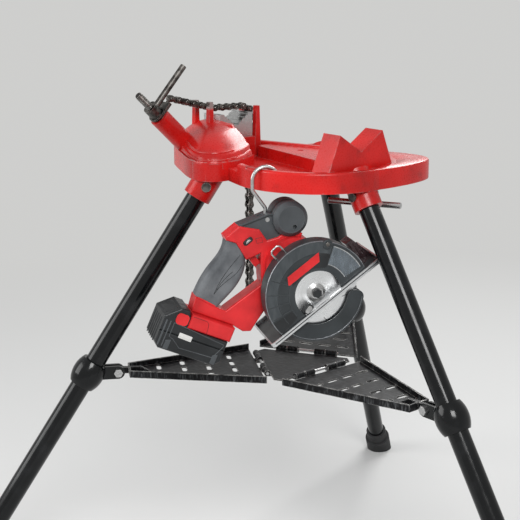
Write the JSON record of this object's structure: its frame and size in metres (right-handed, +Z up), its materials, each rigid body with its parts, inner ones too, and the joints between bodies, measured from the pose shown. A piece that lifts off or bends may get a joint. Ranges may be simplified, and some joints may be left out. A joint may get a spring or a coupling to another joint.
{
  "type": "cordless metal saw on tripod pipe stand",
  "caption": "Folding tripod pipe stand with chain vise and hinged tray, and a cordless metal-cutting circular saw hung from its rim by a wire hook.",
  "frame": {"origin": "on the floor under the middle of the three feet's outline", "axes": "+Z up, +X towards the front leg and away from the chain vise, +Y across to the far side"},
  "size_m": [0.9684, 1.1106, 0.8975],
  "materials": {
    "black_paint": "gloss enamel on tube",
    "black_plastic": "fine grain",
    "bright_alloy": "polished plate",
    "cell_can": "plated cans",
    "charcoal_alloy": "dark coated die casting",
    "clear": "clear plastic",
    "foot_rubber": "matt rubber",
    "grey_plastic": "fine grain",
    "grey_rubber": "soft overmould",
    "oiled_steel": "dark oily steel",
    "red_alloy": "red coated die casting",
    "red_paint": "gloss enamel on a casting",
    "red_plastic": "semi-gloss",
    "scuffed_black": "worn enamel on sheet",
    "smoke_red": "dark clear plastic",
    "steel": "bright steel"
  },
  "bodies": {
    "stand": {"vise_base": "red_paint", "v_jaw": "steel", "chain_run": "oiled_steel", "chain_strap": "steel", "tension_screw": "oiled_steel", "tension_washer": "steel", "cross_bar": "steel", "leg_front": "black_paint", "leg_left": "black_paint", "leg_right": "black_paint", "leg_pins": "steel", "feet": "foot_rubber", "leg_collars": "black_paint", "collar_bolts": "steel"},
    "tension_nut": {"tension_nut": "oiled_steel"},
    "chain_tail": {"chain_tail": "oiled_steel"},
    "tray": {"tray_center": "scuffed_black", "tray_hinge_pins": "steel"},
    "wing_front": {"tray_wing_front": "scuffed_black"},
    "wing_left": {"tray_wing_left": "scuffed_black"},
    "wing_right": {"tray_wing_right": "scuffed_black"},
    "hook": {"hang_hook": "steel"},
    "blade": {"blade": "steel", "inner_flange": "steel", "outer_flange": "steel", "blade_bolt": "oiled_steel", "spindle": "steel"},
    "rotor": {"motor_rotor": "steel"},
    "lower_guard": {"lower_guard": "charcoal_alloy", "guard_lever": "black_plastic"},
    "trigger": {"trigger": "red_plastic"},
    "lock_off": {"lock_off_button": "black_plastic"},
    "battery": {"battery_case": "black_plastic", "battery_cells": "cell_can", "battery_cover": "black_plastic"},
    "latch_near": {"battery_latch_near": "red_plastic"},
    "latch_far": {"battery_latch_far": "red_plastic"},
    "saw": {"badge_plate": "red_alloy", "battery_foot": "red_plastic", "chip_deflector": "smoke_red", "front_handle": "grey_plastic", "gear_case": "red_alloy", "grip": "grey_rubber", "guard_window": "clear", "handle_shell_far": "red_plastic", "handle_shell_near": "red_plastic", "hook_pin": "steel", "housing_screws": "oiled_steel", "key_clip": "steel", "motor_cap": "black_plastic", "motor_housing": "red_plastic", "motor_stator": "steel", "shoe": "bright_alloy", "spindle_bearing": "steel", "upper_guard": "charcoal_alloy"}
  },
  "joints": [
    {"name": "nut_turn", "type": "hinge", "parent": "stand", "child": "tension_nut", "pos_m": [-0.33649, -0.1483, 0.81248], "axis": [0, -0.7314, 0.682], "continuous": true},
    {"name": "chain_tail_swing", "type": "hinge", "parent": "stand", "child": "chain_tail", "pos_m": [-0.33649, 0.048, 0.69983], "axis": [1, 0, 0], "range_deg": [-15, 15]},
    {"name": "tray_lift", "type": "slide", "parent": "stand", "child": "tray", "axis": [0, 0, 1], "range_m": [0, 0.05]},
    {"name": "wing_front_fold", "type": "hinge", "parent": "tray", "child": "wing_front", "pos_m": [-0.09299, 0, 0.396], "axis": [0, 1, 0], "range_deg": [0, 11.75]},
    {"name": "wing_left_fold", "type": "hinge", "parent": "tray", "child": "wing_left", "pos_m": [-0.18374, -0.05239, 0.396], "axis": [0.866, -0.5, 0], "range_deg": [0, 11.75]},
    {"name": "wing_right_fold", "type": "hinge", "parent": "tray", "child": "wing_right", "pos_m": [-0.18374, 0.05239, 0.396], "axis": [-0.866, -0.5, 0], "range_deg": [0, 11.75]},
    {"name": "hook_swing", "type": "hinge", "parent": "stand", "child": "hook", "pos_m": [-0.08849, -0.12534, 0.7366], "axis": [0.9026, -0.4305, 0], "range_deg": [-4, 0.3]},
    {"name": "saw_swing", "type": "hinge", "parent": "hook", "child": "saw", "pos_m": [-0.08849, -0.12534, 0.6761], "axis": [0.9026, -0.4305, 0], "range_deg": [-4, 0.3]},
    {"name": "blade_spin", "type": "hinge", "parent": "saw", "child": "blade", "pos_m": [-0.01747, -0.08097, 0.56216], "axis": [0.9026, -0.4305, 0], "continuous": true},
    {"name": "rotor_spin", "type": "hinge", "parent": "saw", "child": "rotor", "pos_m": [-0.08352, -0.08242, 0.60235], "axis": [0.9026, -0.4305, 0], "continuous": true},
    {"name": "lower_guard_turn", "type": "hinge", "parent": "saw", "child": "lower_guard", "pos_m": [-0.01747, -0.08097, 0.56216], "axis": [0.9026, -0.4305, 0], "range_deg": [-110, 0], "stiffness_Nm_per_rad": 0.15, "springref_deg": 34.38},
    {"name": "trigger_pull", "type": "slide", "parent": "saw", "child": "trigger", "axis": [-0.2561, -0.5369, 0.8039], "range_m": [0, 0.006], "stiffness_N_per_m": 400, "springref_m": -0.004},
    {"name": "lock_off_push", "type": "slide", "parent": "saw", "child": "lock_off", "axis": [-0.9026, 0.4305, 0], "range_m": [0, 0.003], "stiffness_N_per_m": 300, "springref_m": -0.003},
    {"name": "battery_slide", "type": "slide", "parent": "saw", "child": "battery", "axis": [-0.396, -0.8302, 0.3923], "range_m": [0, 0.06]},
    {"name": "latch_near_press", "type": "slide", "parent": "battery", "child": "latch_near", "axis": [-0.9026, 0.4305, 0], "range_m": [0, 0.003], "stiffness_N_per_m": 300, "springref_m": -0.003},
    {"name": "latch_far_press", "type": "slide", "parent": "battery", "child": "latch_far", "axis": [0.9026, -0.4305, 0], "range_m": [0, 0.003], "stiffness_N_per_m": 300, "springref_m": -0.003}
  ],
  "couplings": [
    {"joint": "wing_front_fold", "follows": "tray_lift", "rad_per_m": 4.0733},
    {"joint": "wing_left_fold", "follows": "tray_lift", "rad_per_m": 4.0733},
    {"joint": "wing_right_fold", "follows": "tray_lift", "rad_per_m": 4.0733},
    {"joint": "rotor_spin", "follows": "blade_spin", "ratio": 5}
  ]
}
